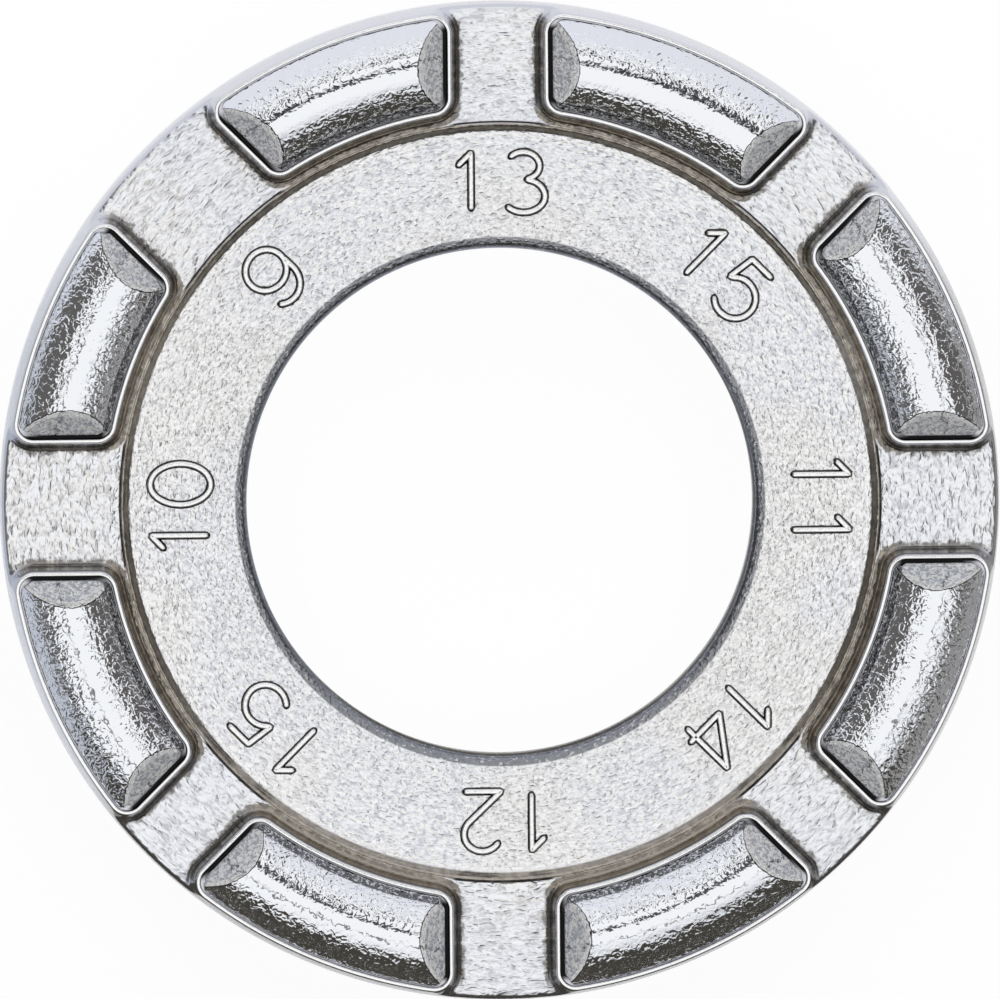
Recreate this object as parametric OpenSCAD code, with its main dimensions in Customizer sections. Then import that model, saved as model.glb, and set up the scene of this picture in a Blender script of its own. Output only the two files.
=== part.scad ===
// Ring spoke wrench: a flat cast ring with eight nipple channels between raised pads.
// Both faces carry the same pads. Each pad has a shallow pocket with a polished bar seated in it.
// Millimetres. The origin is the centre of the ring, halfway through its thickness. +Z is the
// numbered front face and +X points along the gauge 11 channel.

/* [Ring] */
// Outside diameter over the rim
ring_d = 45; // [44:0.5:60]
// Diameter of the finger hole
hole_d = 22.8; // [16:0.2:26]
// Rounding on both edges of the finger hole
hole_edge_r = 0.5; // [0.2:0.05:0.8]
// Thickness of the band that carries the gauge numbers
band_t = 2.4; // [2:0.1:2.9]
// Radial width of the sloping step from the band up to the channel floors
step_w = 0.35; // [0.2:0.05:0.8]
// Flat ledge between the top of that step and the foot of the pads
ledge_w = 0.1; // [0.05:0.01:0.3]
// Straight height of the rim at the middle of the ring
rim_land = 1; // [0.6:0.1:1.6]
// How far the rim leans in between its straight part and the lips
rim_lean = 0.3; // [0.1:0.05:0.6]
// Rounding of the rim where a channel runs out of the ring
rim_edge_r = 0.3; // [0.1:0.05:0.5]

/* [Nipple channels] */
// Thickness of metal between the floors of opposite channels
floor_t = 3; // [3:0.1:4]
// Width across the flats of a gauge 9 nipple
flats_9 = 6; // [5.5:0.05:6.5]
// Width across the flats of a gauge 10 nipple
flats_10 = 5.25; // [4.8:0.05:5.8]
// Width across the flats of a gauge 11 nipple
flats_11 = 4.45; // [4.2:0.05:5]
// Width across the flats of a gauge 12 nipple
flats_12 = 4.1; // [3.9:0.05:4.6]
// Width across the flats of a gauge 13 nipple
flats_13 = 3.65; // [3.5:0.05:4.1]
// Width across the flats of a gauge 14 nipple
flats_14 = 3.45; // [3.3:0.05:3.7]
// Width across the flats of a gauge 15 nipple
flats_15 = 3.3; // [3.1:0.05:3.5]
// How far each channel wall leans out between the floor and the lip
wall_lean = 0.275; // [0.15:0.025:0.4]
// Fillet between the floor and the walls
foot_r = 0.35; // [0.2:0.05:0.5]

/* [Pads] */
// Thickness of the ring over the lips of opposite pads
lip_t = 5.5; // [5:0.1:6.5]
// Radial width of a pad over its lip
pad_w = 4.54; // [4:0.02:5]
// Rounding of a pad's corners, seen from the front
pad_corner_r = 0.85; // [0.7:0.05:1.1]
// Width of the flat lip round the pocket
lip_w = 0.18; // [0.12:0.02:0.24]
// Depth of the pocket that the bar is seated in
pocket_depth = 0.35; // [0.2:0.05:0.6]

/* [Bars] */
// Thickness of the wrench over the crowns of opposite bars
crown_t = 7.7; // [7:0.1:8.6]
// Groove left open between a bar and the wall of its pocket
groove_w = 0.17; // [0.1:0.01:0.22]
// Length of the sloping facet at each end of a bar
facet_run = 1.14; // [0.7:0.02:1.5]
// How far the facet drops below the crown at the bar's end
facet_drop = 1.06; // [0.5:0.02:1.2]

/* [Hidden] */
$fn = 96;
// Gauges in order round the ring, counter-clockwise from +X
gauges = [11, 15, 13, 9, 10, 15, 12, 14];
channels = len(gauges);
last = channels - 1;
pitch = 360 / channels;
flats = [
    [9, flats_9], [10, flats_10], [11, flats_11], [12, flats_12],
    [13, flats_13], [14, flats_14], [15, flats_15],
];

function gauge(k) = gauges[k % channels];
function bar_name(side, k) = str(side, "_bar_", gauge(k), "_", gauge(k + 1));

// One overrun for every cut that runs out of the metal
overrun = 1;

// Heights above the middle of the ring
band_h = band_t / 2;
floor_h = floor_t / 2;
lip_h = lip_t / 2;
crown_h = crown_t / 2;
seat_h = lip_h - pocket_depth;

// Sideways travel of the leaning walls for each unit of height
wall_slope = wall_lean / (lip_h - floor_h);
rim_slope = rim_lean / (lip_h - rim_land / 2);

// A foot fillet reaches this far over the floor from the wall that it joins
foot_reach = foot_r * (sqrt(1 + pow(wall_slope, 2)) - wall_slope);

// Radii of the ring's features
ring_r = ring_d / 2;
hole_r = hole_d / 2;
lip_out_r = ring_r - rim_lean;
lip_in_r = lip_out_r - pad_w;
pad_foot_r = lip_in_r - wall_lean - foot_reach;
step_top_r = pad_foot_r - ledge_w;
band_r = step_top_r - step_w;

// Bars
bar_inset = lip_w + groove_w;
bar_w = pad_w - 2 * bar_inset;
bar_mid_r = lip_out_r - pad_w / 2;
arch_h = crown_h - lip_h;
arch_r = (pow(bar_w / 2, 2) + pow(arch_h, 2)) / (2 * arch_h);
facet_slope = facet_drop / facet_run;

// Half the width of a channel between the lips of its two pads
function half_mouth(k) = lookup(gauge(k), flats) / 2 + wall_lean;

// Centre of the plan rounding of a pad's corner on one bank of channel k, at radius r from the
// ring's axis. The left bank has bank = 1 and the right bank has bank = -1.
function corner_centre(k, bank, r) =
    let (across = half_mouth(k) + pad_corner_r)
    [sqrt(pow(r, 2) - pow(across, 2)), bank * across];

// The two radii at which a pad has its corner centres, each with the radius that its cut runs to
corner_radii = [
    [lip_in_r + pad_corner_r, hole_r],
    [lip_out_r - pad_corner_r, ring_r + overrun],
];
// A corner is rounded a little fuller than tangent, and so meets its walls in a faint crease
fullness_share = 1.015;
// Flats that make up the foot fillet along a channel
foot_steps = 4;
// Share of its radius by which a foot fillet runs under the floor, to meet it at a clear angle
foot_dip_share = 0.08;
dip_h = floor_h - foot_r * foot_dip_share;

// Radius of the rim's leaning side at height z
function rim_at(z) = ring_r - rim_slope * (z - rim_land / 2);

// Unit vector square to a side that leans by slope
function square_to(slope) = [1, slope] / sqrt(1 + pow(slope, 2));

// An outline drawn above the middle plane, completed by its mirror image below it
function both_faces(points) =
    concat(points, [for (i = [len(points) - 1 : -1 : 0]) [points[i][0], -points[i][1]]]);

// Section of the ring of pads: the wall that faces the number band stands at radius base and
// leans out from a foot fillet up to the lip, and the rim leans in to meet it
module pad_section(base) {
    centre = [base - foot_reach, dip_h + foot_r];
    difference() {
        polygon(both_faces([
            [centre[0], dip_h],
            centre + foot_r * square_to(-wall_slope),
            [lip_in_r, lip_h],
            [lip_out_r, lip_h],
            [ring_r, rim_land / 2],
        ]));
        for (face = [1, -1])
            translate([centre[0], face * centre[1]])
                circle(foot_r);
    }
}

// The thin web: number band, sloping step, channel floors and rounded rim
module web_section() {
    edge_h = floor_h - rim_edge_r;
    edge_x = rim_at(edge_h) - rim_edge_r * sqrt(1 + pow(rim_slope, 2));
    polygon(both_faces([
        [hole_r, band_h - hole_edge_r],
        [hole_r + hole_edge_r, band_h],
        [band_r, band_h],
        [step_top_r, floor_h],
        [edge_x, floor_h],
        [edge_x, edge_h] + rim_edge_r * square_to(rim_slope),
        [ring_r, rim_land / 2],
    ]));
    for (face = [1, -1]) {
        translate([hole_r + hole_edge_r, face * (band_h - hole_edge_r)])
            circle(hole_edge_r);
        translate([edge_x, face * edge_h])
            circle(rim_edge_r);
    }
}

// Section of channel k from its middle to the wall on its left bank, with the fillet drawn in
// short flats
module channel_section(k) {
    base = half_mouth(k) - wall_lean;
    top = lip_h + overrun;
    centre = [base - foot_reach, dip_h + foot_r];
    steep = -atan(wall_slope);
    polygon(both_faces(concat(
        [[-overrun, top], [base + wall_slope * (top - floor_h), top]],
        [
            for (i = [0 : foot_steps])
                let (turn = steep - (90 + steep) * i / foot_steps)
                centre + foot_r * [cos(turn), sin(turn)]
        ]
    )));
}

// The ground round one corner of a pad, from the corner's centre out to the channel and to the
// radius far
module corner_ground(k, bank, r, far) {
    centre = corner_centre(k, bank, r);
    polygon([centre, [centre[0], 0], [far, 0], centre * far / r]);
}

// What rounds one corner of a pad down to the floor, leaving a leaning cone
module corner_cut(k, bank, r, far) {
    foot = pad_corner_r * fullness_share + wall_lean;
    rise = lip_h + 2 * overrun - dip_h;
    difference() {
        translate([0, 0, -lip_h - overrun])
            linear_extrude(2 * (lip_h + overrun))
                corner_ground(k, bank, r, far);
        translate(corner_centre(k, bank, r)) {
            cylinder(h = 2 * dip_h, r = foot, center = true);
            for (flip = [0, 1])
                mirror([0, 0, flip])
                    translate([0, 0, dip_h])
                        cylinder(h = rise, r1 = foot, r2 = foot - wall_slope * rise);
        }
    }
}

// What shapes the end of a pad on one bank of channel k: its wall and its two corners
module bank_cut(k, bank) {
    start = band_r - overrun;
    translate([start, 0, 0])
        rotate([90, 0, 90])
            linear_extrude(ring_r + overrun - start)
                mirror([bank < 0 ? 1 : 0, 0])
                    channel_section(k);
    for (c = corner_radii)
        corner_cut(k, bank, c[0], c[1]);
}

// The pad between channels k and k + 1, on both faces
module pad(k) {
    difference() {
        rotate(k * pitch)
            rotate_extrude(angle = pitch)
                pad_section(lip_in_r - wall_lean);
        rotate(k * pitch)
            bank_cut(k, 1);
        rotate((k + 1) * pitch)
            bank_cut(k + 1, -1);
    }
}

// Outline of the pad between channels k and k + 1, drawn in from its lip by inset
module pad_outline(k, inset) {
    difference() {
        intersection() {
            difference() {
                circle(lip_out_r - inset);
                circle(lip_in_r + inset);
            }
            rotate(k * pitch)
                translate([0, half_mouth(k) + inset])
                    square(ring_r);
            rotate((k + 1) * pitch)
                translate([0, -half_mouth(k + 1) - inset - ring_r])
                    square(ring_r);
        }
        rotate(k * pitch)
            outline_corners(k, 1, inset);
        rotate((k + 1) * pitch)
            outline_corners(k + 1, -1, inset);
    }
}

// What rounds the two corners of an outline on one bank of channel k
module outline_corners(k, bank, inset) {
    for (c = corner_radii)
        difference() {
            corner_ground(k, bank, c[0], c[1]);
            translate(corner_centre(k, bank, c[0]))
                circle(pad_corner_r * fullness_share - inset);
        }
}

// What slopes the end of a bar on the left bank of channel k
module facet_cut(k) {
    end = half_mouth(k) + bar_inset;
    outside = end - overrun;
    inside = end + facet_run + overrun;
    top = crown_h + facet_slope * overrun;
    rotate([90, 0, 90])
        linear_extrude(ring_r)
            polygon([
                [outside, top - facet_slope * (inside - outside)],
                [inside, top],
                [outside, top],
            ]);
}

// The cast ring with its pads, their lips and their pockets on both faces
module ring_body() {
    color("silver")
        difference() {
            union() {
                rotate_extrude()
                    web_section();
                for (k = [0 : last])
                    pad(k);
            }
            for (flip = [0, 1], k = [0 : last])
                mirror([0, 0, flip])
                    translate([0, 0, seat_h])
                        linear_extrude(pocket_depth + overrun)
                            pad_outline(k, lip_w);
        }
}

// The polished bar in the front pocket between channels k and k + 1
module front_bar(k) {
    color("gainsboro")
        difference() {
            intersection() {
                rotate_extrude()
                    intersection() {
                        translate([bar_mid_r, crown_h - arch_r])
                            circle(arch_r);
                        translate([bar_mid_r - pad_w, seat_h])
                            square([2 * pad_w, arch_h + pocket_depth + overrun]);
                    }
                linear_extrude(crown_h + overrun)
                    pad_outline(k, bar_inset);
            }
            rotate(k * pitch)
                facet_cut(k);
            rotate((k + 1) * pitch)
                mirror([0, 1, 0])
                    facet_cut(k + 1);
        }
}

// The same bar in the back pocket
module back_bar(k) {
    mirror([0, 0, 1])
        front_bar(k);
}

ring_body();
for (k = [0 : last]) {
    front_bar(k);
    back_bar(k);
}
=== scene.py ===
# %% [markdown]
# # Ring spoke wrench
# The real tool is a flat cast ring that fits in the palm. Eight raised pads stand round its rim
# on both faces, and the channels between them grip the square nipples of bicycle spokes, one
# gauge to a channel. Each pad has a polished bar seated in a shallow pocket. The packed CAD model
# holds all of this as plain solids. New materials on those would be the quickest way, but in a
# mirror finish every facet shows, so this script makes denser and softer meshes in their place.

import math

import bpy
import numpy as np
from mathutils import Matrix, Vector
from mathutils.geometry import delaunay_2d_cdt


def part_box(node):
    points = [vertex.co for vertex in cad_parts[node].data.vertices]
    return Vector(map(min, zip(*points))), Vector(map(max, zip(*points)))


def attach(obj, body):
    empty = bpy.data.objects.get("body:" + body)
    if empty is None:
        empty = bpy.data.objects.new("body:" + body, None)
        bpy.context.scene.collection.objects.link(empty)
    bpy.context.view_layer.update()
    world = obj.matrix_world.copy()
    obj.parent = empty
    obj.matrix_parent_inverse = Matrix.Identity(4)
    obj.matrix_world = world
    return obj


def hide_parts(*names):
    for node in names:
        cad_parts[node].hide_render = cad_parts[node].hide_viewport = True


MM = 0.001
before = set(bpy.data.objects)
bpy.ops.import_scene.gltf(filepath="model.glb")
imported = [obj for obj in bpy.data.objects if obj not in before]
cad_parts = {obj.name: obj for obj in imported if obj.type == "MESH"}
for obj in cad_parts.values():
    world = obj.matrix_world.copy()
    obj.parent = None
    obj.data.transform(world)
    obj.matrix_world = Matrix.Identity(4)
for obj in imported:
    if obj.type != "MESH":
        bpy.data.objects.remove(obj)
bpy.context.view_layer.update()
print("nodes in the frame:", len(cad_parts))

# %% [markdown]
# ## The camera
# The picture looks straight down on the numbered face from a little to the upper left, so the
# raised parts lean a few pixels to the lower right. A long lens far away keeps the ring round.
# Its tilt could be given as angles. It is given as the lean, the sideways travel of the view for
# each millimetre of height, because that is what can be measured in a picture.

# %% Camera
bpy.context.scene.view_settings.view_transform = "Standard"
ring_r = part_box("ring_body")[1].x / MM
VIEW_DISTANCE = 1500
LEAN_X, LEAN_Y = -0.034, 0.057
ROLL = math.radians(-0.46)
FRAME_CENTRE = (0.03, 0.03)
NEAREST_M, FARTHEST_M = 0.1, 5

camera = bpy.data.objects.new("camera", bpy.data.cameras.new("camera"))
bpy.context.scene.collection.objects.link(camera)
bpy.context.scene.camera = camera
back = Vector((LEAN_X, LEAN_Y, 1)).normalized()
target = Vector((*FRAME_CENTRE, 0)) * MM
camera.location = target + back * VIEW_DISTANCE * MM
right = Vector((0, 1, 0)).cross(back).normalized()
up = back.cross(right)
turned_right = right * math.cos(ROLL) + up * math.sin(ROLL)
axes = [turned_right, back.cross(turned_right), back]
camera.rotation_mode = "QUATERNION"
camera.rotation_quaternion = Matrix(axes).transposed().to_quaternion()
camera.data.lens = camera.data.sensor_width * VIEW_DISTANCE / (2 * ring_r)
camera.data.clip_start, camera.data.clip_end = NEAREST_M, FARTHEST_M
print("lens, mm:", round(camera.data.lens))

# %% [markdown]
# ## Sizes
# The overall heights and the radius come from the frame. The rest repeats the few driving sizes
# of the CAD part, in millimetres, and one function turns points to metres when a mesh is made.
# Reading every size back from the solids would be safer against changes, but edges as small as
# these can't be found in a mesh reliably. First comes the web, the flat ring that carries all
# else: hole, number band, step, channel floors and rim.

# %% Sizes of the web
GAUGES = [11, 15, 13, 9, 10, 15, 12, 14]
PITCH = math.tau / len(GAUGES)
HOLE_R, HOLE_EDGE_R = 11.4, 0.5
BAND_H, FLOOR_H = 1.2, 1.5
STEP_R, CREST_H, CREST_END_R = (16.66, 17.02), 0.05, 17.1
RIM_LAND_H, RIM_LEAN, RIM_EDGE_R = 0.5, 0.3, 0.3

lip_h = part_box("ring_body")[1].z / MM
rim_slope = RIM_LEAN / (lip_h - RIM_LAND_H)
lean_end_h = FLOOR_H - RIM_EDGE_R


def rim_at(z):
    return ring_r - rim_slope * (z - RIM_LAND_H)


rim_edge_r = rim_at(lean_end_h) - RIM_EDGE_R * math.hypot(1, rim_slope)
print("rim and lip, mm:", round(ring_r, 2), round(lip_h, 2))

# %% [markdown]
# The pads come next. What sets their ends is the nipple that each channel has to grip, so the
# widths over the flats are listed by gauge, and the channel opens upwards as its walls lean.

# %% Sizes of a pad
FLATS = {9: 6.0, 10: 5.25, 11: 4.45, 12: 4.1, 13: 3.65, 14: 3.45, 15: 3.3}
PAD_W, PAD_CORNER_R, WALL_LEAN, FOOT_R = 4.54, 0.86, 0.275, 0.3
LIP_W, LIP_EDGE_R, POCKET_DEPTH = 0.18, 0.06, 0.35

lip_out_r = ring_r - RIM_LEAN
lip_in_r = lip_out_r - PAD_W
seat_h = lip_h - POCKET_DEPTH
wall_slope = WALL_LEAN / (lip_h - FLOOR_H)
foot_reach = FOOT_R * (math.hypot(1, wall_slope) - wall_slope)


def half_mouth(k):
    """Half the width of channel k between its lips."""
    return FLATS[GAUGES[k % len(GAUGES)]] / 2 + WALL_LEAN


print("mouths, mm:", [round(2 * half_mouth(k), 2) for k in range(len(GAUGES))])

# %% [markdown]
# ## The outline of a pad
# Seen from above a pad is a piece of a ring with four rounded corners. Its two ends run along
# the channels, so they aren't radial. It could be cut from a ring with booleans, but then the
# points would fall where they like. Here it is walked round, side by side and arc by arc. Two
# small functions give the arcs and the centres of the corners.

# %% Arcs and corners
def sweep(centre, radius, start, stop, steps):
    """Points on an arc, and the direction outwards at each."""
    turns = np.linspace(start, stop, steps, endpoint=False)
    away = np.stack([np.cos(turns), np.sin(turns)], 1)
    return centre + radius * away, away


def turned(points, angle):
    c, s = math.cos(angle), math.sin(angle)
    return points @ np.array([[c, s], [-s, c]])


def corners_beside(k, bank):
    """Centres of the inner and outer corner beside channel k, and their angles from its line."""
    across = half_mouth(k) + PAD_CORNER_R
    radii = np.array([lip_in_r + PAD_CORNER_R, lip_out_r - PAD_CORNER_R])
    centres = np.stack([np.sqrt(radii**2 - across**2), [bank * across] * 2], 1)
    return centres, np.arcsin(bank * across / radii)


print("corners beside channel 0, mm:", corners_beside(0, 1)[0].round(2).tolist())

# %% [markdown]
# The walk goes up one channel's wall, along the rim, down the other wall and back along the step.
# Each point also gets its way out, square to the edge.

# %% Outline of a pad
WALL_STEPS, CORNER_STEPS, OUTER_STEPS, INNER_STEPS = 10, 14, 44, 34


def straight_wall(start, stop, side):
    share = np.linspace(0, 1, WALL_STEPS, endpoint=False)[:, None]
    points = start + (stop - start) * share + side * PAD_CORNER_R
    return points, np.repeat(side[None], WALL_STEPS, 0)


def pad_outline(k):
    """The lip's outline between channels k and k + 1: its points, and the way out at each."""
    first, last, quarter = k * PITCH, (k + 1) * PITCH, math.pi / 2
    near_first, (lean_in_a, lean_out_a) = corners_beside(k, 1)
    near_last, (lean_in_b, lean_out_b) = corners_beside(k + 1, -1)
    in_a, out_a = turned(near_first, first)
    in_b, out_b = turned(near_last, last)
    inner, inner_away = sweep(0, lip_in_r, last + lean_in_b, first + lean_in_a, INNER_STEPS)
    parts = [
        straight_wall(in_a, out_a, np.array([math.sin(first), -math.cos(first)])),
        sweep(out_a, PAD_CORNER_R, first - quarter, first + lean_out_a, CORNER_STEPS),
        sweep(0, lip_out_r, first + lean_out_a, last + lean_out_b, OUTER_STEPS),
        sweep(out_b, PAD_CORNER_R, last + lean_out_b, last + quarter, CORNER_STEPS),
        straight_wall(out_b, in_b, np.array([-math.sin(last), math.cos(last)])),
        sweep(in_b, PAD_CORNER_R, last + quarter, last + lean_in_b + math.pi, CORNER_STEPS),
        (inner, -inner_away),
        sweep(in_a, PAD_CORNER_R, first + lean_in_a + math.pi, first + 3 * quarter, CORNER_STEPS),
    ]
    points, away = (np.concatenate(column) for column in zip(*parts))
    return points, away


pads = [pad_outline(k) for k in range(len(GAUGES))]
print("points on a pad's outline:", len(pads[0][0]))

# %% [markdown]
# Every edge on the pad, from the groove round the bar to the foot of the walls, is this outline
# drawn larger or smaller. Scaling it would change the corners, so each point moves along its own
# way out instead.


# %% Outlines drawn larger or smaller
def drawn_out(outline, distance, limit=math.inf):
    """The outline moved out by distance, with nothing further from the axis than limit."""
    points = outline[0] + outline[1] * distance
    radius = np.hypot(points[:, 0], points[:, 1])
    return points * np.minimum(1, limit / radius)[:, None]


def outwardness(outline):
    """1 where the outline faces away from the ring's axis, -1 where it faces the axis."""
    return (outline[0] * outline[1]).sum(1) / np.hypot(*outline[0].T)


print("outwardness of the first wall's points:", outwardness(pads[0])[:3].round(2))

# %% [markdown]
# ## The casting's face as a height map
# The real ring was cast in a two-part mould, so nothing on either face is undercut and every
# wall leans. One height for each place therefore describes a whole face. Sculpting or bevelled
# solids could give the same soft edges, but a rule for the height is exact, and the same rule
# serves for all eight pads. This is the profile of a pad: a pocket, a small round lip, a steep
# side and a fillet at its foot.

# %% Profile of a pad
FILLET_STEPS, EDGE_STEPS, SIDE_STEPS = 8, 5, 4
POCKET_CORNER_W, POCKET_CORNER_H = 0.02, 0.03


def pad_levels():
    """Distances from the lip's outline, from the pocket outwards, each with its height."""
    levels = [(-LIP_W - POCKET_CORNER_W, seat_h), (-LIP_W, seat_h + POCKET_CORNER_H)]
    low = lip_h - LIP_EDGE_R
    turns = np.linspace(0, math.pi / 2, EDGE_STEPS + 1)
    for t in turns:
        levels.append((-LIP_W + LIP_EDGE_R * (1 - math.cos(t)), low + LIP_EDGE_R * math.sin(t)))
    for t in turns[1:]:
        levels.append((-LIP_EDGE_R * (1 - math.sin(t)), low + LIP_EDGE_R * math.cos(t)))
    centre = (WALL_LEAN + foot_reach, FLOOR_H + FOOT_R)
    turns = np.linspace(math.atan(wall_slope), math.pi / 2, FILLET_STEPS + 1)
    fillet = [(centre[0] - FOOT_R * math.cos(t), centre[1] - FOOT_R * math.sin(t)) for t in turns]
    top = low - LIP_EDGE_R
    for share in np.linspace(0, 1, SIDE_STEPS, endpoint=False):
        z = top + (fillet[0][1] - top) * share
        levels.append(((lip_h - z) * wall_slope, z))
    return levels + fillet


LEVELS = pad_levels()
FOOT_END = LEVELS[-1][0]
print("levels on a pad:", len(LEVELS), "foot ends at", round(FOOT_END, 3), "mm")

# %% [markdown]
# Under the pads lies the web: a rounded hole edge, the band, a soft step with a low crest, and
# the channel floor, which rounds over at the rim. A pad's profile is stretched where the web
# under it is lower, so its foot always lands on the surface.


# %% Height of the web and of the whole face
def eased(share):
    """Goes from 0 to 1 with level ends."""
    return share**2 * (3 - 2 * share)


def web_height(r):
    inside = np.clip(HOLE_R + HOLE_EDGE_R - r, 0, HOLE_EDGE_R)
    hole_drop = HOLE_EDGE_R - np.sqrt(np.maximum(0, HOLE_EDGE_R**2 - inside**2))
    rise = eased(np.clip((r - STEP_R[0]) / (STEP_R[1] - STEP_R[0]), 0, 1))
    fall = eased(np.clip((r - STEP_R[1]) / (CREST_END_R - STEP_R[1]), 0, 1))
    step = (FLOOR_H + CREST_H - BAND_H) * rise - CREST_H * fall
    over = np.clip(r - rim_edge_r, 0, RIM_EDGE_R)
    rounded = lean_end_h + np.sqrt(RIM_EDGE_R**2 - over**2)
    return np.where(r > rim_edge_r, rounded, BAND_H + step - hole_drop)


def face_height(points, distance):
    """Height at each point, which is distance away from the nearest pad's lip."""
    r = np.hypot(points[:, 0], points[:, 1])
    rise = np.interp(distance, [d for d, z in LEVELS], [z - FLOOR_H for d, z in LEVELS])
    base = web_height(r)
    leaning_rim = RIM_LAND_H + (ring_r - r) / rim_slope
    return np.minimum(base + rise * (lip_h - base) / (lip_h - FLOOR_H), leaning_rim)


print("band, crest and floor, mm:", [round(float(web_height(r)), 2) for r in (14, 17.02, 19)])

# %% [markdown]
# ## The casting's mesh
# A plain grid would cut across the lips and leave them ragged. Here every row of points follows
# an edge of the real part, neighbouring rows are joined with strips of quads, and only the flat
# floors between them are filled with triangles. Each row also notes its distance from the lip
# and how far its wall faces outwards, which the finish needs later.

# %% Rows, strips and fills
FAR = 9.0


class Plan:
    """Points seen from above, what is known of each, and the faces between them."""

    def __init__(self):
        self.points, self.heights, self.from_lip, self.outward, self.faces = [], [], [], [], []
        self.count = 0

    def row(self, points, heights, from_lip=FAR, outward=0):
        ids = np.arange(self.count, self.count + len(points))
        self.count += len(points)
        self.points.append(points)
        self.heights.append(np.broadcast_to(heights, len(points)))
        self.from_lip.append(np.broadcast_to(from_lip, len(points)))
        self.outward.append(np.broadcast_to(outward, len(points)))
        return ids

    def strip(self, a, b):
        """Quads between two closed rows, the second lying inside the first."""
        self.faces += np.stack([a, np.roll(a, -1), np.roll(b, -1), b], 1).tolist()

    def fill(self, outer, holes, loose=()):
        """Triangles inside the row outer and outside the rows in holes."""
        rows = [outer, *holes]
        ids = np.concatenate([*rows, np.array(loose, int)])
        place = {int(i): n for n, i in enumerate(ids)}
        every = np.concatenate(self.points)
        loops = [[place[int(i)] for i in row] for row in rows]
        made = delaunay_2d_cdt([Vector(p) for p in every[ids]], [], loops, 0, 1e-7, True)
        for triangle, inside in zip(made[2], made[5]):
            if inside == [0]:
                self.faces.append([int(ids[made[3][i][0]]) for i in triangle])


print("a plan notes:", ", ".join(vars(Plan())))

# %% [markdown]
# The channel floors are flat, yet they get a few loose points of their own. Some round them over
# at the rim. The others carry the distance to the lip, because a triangle that spans a channel
# from foot to foot would say that its middle is as near to the lip as its ends.

# %% Loose points in the channels
MOUTH_ROWS, MOUTH_COLUMNS, MOUTH_TURN, MOUTH_CLEAR = 6, 90, 1.2, 0.03
FLOOR_START_R, FLOOR_STOP, FLOOR_SPACING, FLOOR_SHARES = 17.4, 0.1, 0.4, [-0.5, 0, 0.5]
HOLD = 0.04


def nearest_lip(points):
    """Distance of each point to the nearest pad's outline."""
    found = np.full(len(points), FAR)
    for outline, _ in pads:
        gaps = np.hypot(*np.moveaxis(points[:, None] - outline[None], 2, 0)).min(1)
        found = np.minimum(found, gaps)
    return found


def mouth_points(plan):
    """Loose points that round the floor over at the open end of each channel."""
    ids = []
    for turn in np.linspace(0, MOUTH_TURN, MOUTH_ROWS):
        r = rim_edge_r + RIM_EDGE_R * math.sin(turn)
        for k in range(len(GAUGES)):
            corner = corners_beside(k, 1)[0][1]
            across = np.linspace(-corner[1], corner[1], MOUTH_COLUMNS)
            points = np.stack([np.sqrt(r**2 - across**2), across], 1)
            gap = np.hypot(points[:, 0] - corner[0], np.abs(across) - corner[1])
            clear = gap > PAD_CORNER_R + FOOT_END + HOLD + MOUTH_CLEAR
            ids += list(plan.row(turned(points[clear], k * PITCH), web_height(r)))
    return ids


def floor_points(plan):
    """Loose points on the channel floors, each with its distance to the nearest lip."""
    ids = []
    rows = np.arange(FLOOR_START_R, rim_edge_r - FLOOR_STOP, FLOOR_SPACING)
    radii, shares = (grid.ravel() for grid in np.meshgrid(rows, FLOOR_SHARES))
    for k in range(len(GAUGES)):
        across = shares * (half_mouth(k) - FOOT_END)
        local = np.stack([np.sqrt(radii**2 - across**2), across], 1)
        points = turned(local, k * PITCH)
        ids += list(plan.row(points, web_height(radii), nearest_lip(points)))
    return ids


print("from the first pad's corner to a lip, mm:", nearest_lip(pads[0][0][:1]).tolist())

# %% [markdown]
# The rows run from the hole out to the step, from the rim up to where it rounds over, and on
# each pad from its foot over the lip down to the pocket. Two rows close together hold the
# shading at an edge, as a pair of loops does in hand modelling.

# %% Rows of one face
ROUND_STEPS, HOLE_EDGE_ROWS, STEP_ROWS, CREST_ROWS = 480, 7, 9, 5
RIM_ROWS_H, FOOT_LIMIT_DROP = (0.7, 0.95), 0.15
foot_limit_r = rim_at(FLOOR_H - FOOT_LIMIT_DROP)


def circle_points(r):
    return sweep(0, r, 0, math.tau, ROUND_STEPS)[0]


def web_rows(plan):
    """Rows from the edge of the hole to the step: the first and the last."""
    turns = np.linspace(0, math.pi / 2, HOLE_EDGE_ROWS)
    radii = [HOLE_R + HOLE_EDGE_R * (1 - math.cos(t)) for t in turns]
    radii += [HOLE_R + HOLE_EDGE_R + HOLD, STEP_R[0] - 2 * HOLD, STEP_R[0]]
    radii += list(np.linspace(*STEP_R, STEP_ROWS)[1:])
    radii += list(np.linspace(STEP_R[1], CREST_END_R, CREST_ROWS)[1:])
    first = last = plan.row(circle_points(radii[0]), web_height(radii[0]))
    for r in radii[1:]:
        around = circle_points(r)
        ids = plan.row(around, web_height(r), nearest_lip(around))
        plan.strip(ids, last)
        last = ids
    return first, last


def rim_rows(plan):
    """Rows up the rim to where it rounds over: the first and the last."""
    first = last = plan.row(circle_points(ring_r), RIM_LAND_H)
    for z in (*RIM_ROWS_H, lean_end_h):
        ids = plan.row(circle_points(rim_at(z)), z)
        plan.strip(last, ids)
        last = ids
    return first, last


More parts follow.
